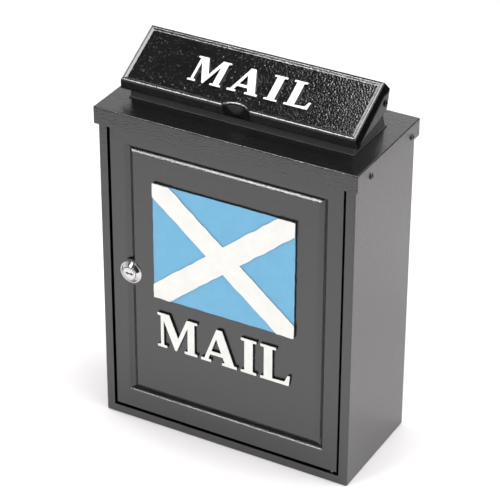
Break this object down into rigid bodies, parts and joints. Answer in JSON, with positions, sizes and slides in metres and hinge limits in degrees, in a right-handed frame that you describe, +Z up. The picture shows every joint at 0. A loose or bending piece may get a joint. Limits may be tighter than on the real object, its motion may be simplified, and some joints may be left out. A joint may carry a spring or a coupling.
{
  "type": "wall mounted mailbox",
  "caption": "Upright black wall mailbox with a lockable hinged front door, raised emblem and capitals, and a sloping letter flap over a hood on top.",
  "frame": {"origin": "centre of the bounding box's underside, on the base of the casing", "axes": "+Z up, the door faces -Y, the wall is on the +Y side, +X to the viewer's right"},
  "size_m": [0.2598, 0.1196, 0.3677],
  "materials": {
    "black_paint": "glossy black powder coat with fine orange peel",
    "cast_black": "cast aluminium, glossy black powder coat",
    "white_paint": "satin white paint on cast relief",
    "blue_paint": "satin light blue paint on cast relief",
    "chrome": "polished chrome",
    "steel": "zinc plated steel"
  },
  "bodies": {
    "casing": {"body_shell": "black_paint", "back_panel": "black_paint", "top_cap": "black_paint", "cap_screw_1": "black_paint", "cap_screw_2": "black_paint", "cap_screw_3": "black_paint", "cap_screw_4": "black_paint", "door_header": "black_paint", "hinge_bracket_lower": "black_paint", "hinge_bracket_upper": "black_paint", "lock_keeper": "black_paint", "chute_hood": "cast_black", "flap_pivot_screw_left": "black_paint", "flap_pivot_screw_right": "black_paint"},
    "flap": {"flap_cover": "cast_black", "flap_letter_m": "white_paint", "flap_letter_a": "white_paint", "flap_letter_i": "white_paint", "flap_letter_l": "white_paint"},
    "door": {"door_panel": "cast_black", "hinge_pin_lower": "steel", "hinge_pin_upper": "steel", "emblem_field": "blue_paint", "emblem_cross": "white_paint", "door_letter_m": "white_paint", "door_letter_a": "white_paint", "door_letter_i": "white_paint", "door_letter_l": "white_paint", "lock_housing": "chrome", "lock_nut": "steel"},
    "lock": {"lock_plug": "chrome", "lock_cam": "steel", "cam_screw": "steel"}
  },
  "joints": [
    {"name": "flap_hinge", "type": "hinge", "parent": "casing", "child": "flap", "pos_m": [0, 0.01515, 0.3488], "axis": [-1, 0, 0], "range_deg": [0, 85]},
    {"name": "door_hinge", "type": "hinge", "parent": "casing", "child": "door", "pos_m": [0.1085, -0.05315, 0.0112], "axis": [0, 0, 1], "range_deg": [0, 115]},
    {"name": "lock_turn", "type": "hinge", "parent": "door", "child": "lock", "pos_m": [-0.0953, -0.05665, 0.158], "axis": [0, 1, 0], "range_deg": [0, 90]}
  ]
}
